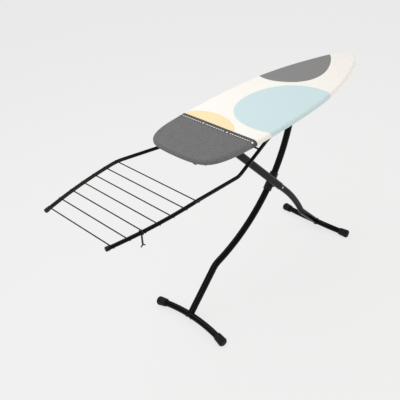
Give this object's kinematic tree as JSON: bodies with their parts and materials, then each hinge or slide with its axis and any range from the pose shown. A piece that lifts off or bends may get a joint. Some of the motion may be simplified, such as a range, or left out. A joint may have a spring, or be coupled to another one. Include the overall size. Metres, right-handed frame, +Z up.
{
  "type": "ironing board",
  "caption": "Ironing board with a padded printed cover, heat-proof rest zone, folding curved scissor legs and a wire linen rack.",
  "frame": {"origin": "centre of the overall footprint, on the floor", "axes": "+X from the broad end and linen rack to the nose, +Y to the left side when facing the nose, +Z up"},
  "size_m": [1.8785, 0.502, 1],
  "materials": {
    "enamelled_steel": "light grey baked enamel",
    "zinc_steel": "bright zinc plate",
    "foot_rubber": "moulded, slightly blue black",
    "black_plastic": "fine moulded grain",
    "pad_felt": "needled felt",
    "printed_cotton": "plain weave cotton, printed",
    "heat_proof_cloth": "silicone coated dark grey cloth",
    "black_coated_steel": "satin gloss powder coat"
  },
  "bodies": {
    "board": {"board_rim": "enamelled_steel", "end_brace": "enamelled_steel", "felt_pad": "pad_felt", "front_hinge_bracket": "black_coated_steel", "front_hinge_pin": "zinc_steel", "guide_rail_left": "black_coated_steel", "guide_rail_right": "black_coated_steel", "heat_zone_cover": "heat_proof_cloth", "hinge_brace": "enamelled_steel", "lever_pin": "zinc_steel", "printed_cover": "printed_cotton", "rack_socket_left": "black_coated_steel", "rack_socket_right": "black_coated_steel", "rail_end_brace": "enamelled_steel", "rail_inner_brace": "enamelled_steel", "return_spring": "zinc_steel", "vented_panel": "enamelled_steel"},
    "front_leg": {"front_foot_cap_left": "foot_rubber", "front_foot_cap_right": "foot_rubber", "front_foot_tube": "black_coated_steel", "front_hinge_tube": "black_coated_steel", "front_leg_tube": "black_coated_steel", "pivot_bolt": "zinc_steel", "pivot_housing": "black_plastic", "pivot_nut": "zinc_steel"},
    "hanging_clip": {"hanging_clip": "black_plastic"},
    "rear_leg": {"leg_joint_rivet": "zinc_steel", "rear_foot_cap_left": "foot_rubber", "rear_foot_cap_right": "foot_rubber", "rear_foot_tube": "black_coated_steel", "rear_leg_lower_tube": "black_coated_steel", "rear_leg_upper_tube": "black_coated_steel", "slider_bush_left": "black_plastic", "slider_bush_right": "black_plastic", "slider_crossbar": "zinc_steel"},
    "release_lever": {"lever_grip": "black_plastic", "release_lever": "black_coated_steel"},
    "lock_rod": {"lock_block": "black_plastic", "pull_rod": "zinc_steel"},
    "linen_rack": {"rack_end_cap_left": "black_plastic", "rack_end_cap_right": "black_plastic", "rack_rail_left": "black_coated_steel", "rack_rail_right": "black_coated_steel", "rack_stop_arm_left": "black_coated_steel", "rack_stop_arm_right": "black_coated_steel", "rack_wire_1": "black_coated_steel", "rack_wire_2": "black_coated_steel", "rack_wire_3": "black_coated_steel", "rack_wire_4": "black_coated_steel", "rack_wire_5": "black_coated_steel", "rack_wire_6": "black_coated_steel", "rack_wire_7": "black_coated_steel"}
  },
  "joints": [
    {"name": "leg_fold", "type": "hinge", "parent": "board", "child": "front_leg", "pos_m": [0.6674, 0, 0.93], "axis": [0, 1, 0], "range_deg": [0, 34.5]},
    {"name": "scissor_pivot", "type": "hinge", "parent": "front_leg", "child": "rear_leg", "pos_m": [0.2636, 0, 0.5], "axis": [0, 1, 0], "range_deg": [-70, 0]},
    {"name": "height_lever", "type": "hinge", "parent": "board", "child": "release_lever", "pos_m": [-0.3604, -0.08, 0.964], "axis": [0, 0, 1], "range_deg": [-10, 0], "stiffness_Nm_per_rad": 0.6, "springref_deg": 5.73},
    {"name": "lock_rod_slide", "type": "slide", "parent": "board", "child": "lock_rod", "axis": [1, 0, 0], "range_m": [-0.001, 0.012]},
    {"name": "rack_draw", "type": "slide", "parent": "board", "child": "linen_rack", "axis": [-1, 0, 0], "range_m": [0, 0.08]},
    {"name": "clip_swing", "type": "hinge", "parent": "linen_rack", "child": "hanging_clip", "pos_m": [-0.7942, -0.21267, 0.9071], "axis": [-0.9855, 0.1677, -0.0256], "range_deg": [-30, 30]}
  ],
  "couplings": [
    {"joint": "scissor_pivot", "follows": "leg_fold", "ratio": -2},
    {"joint": "lock_rod_slide", "follows": "height_lever", "m_per_rad": -0.037}
  ]
}
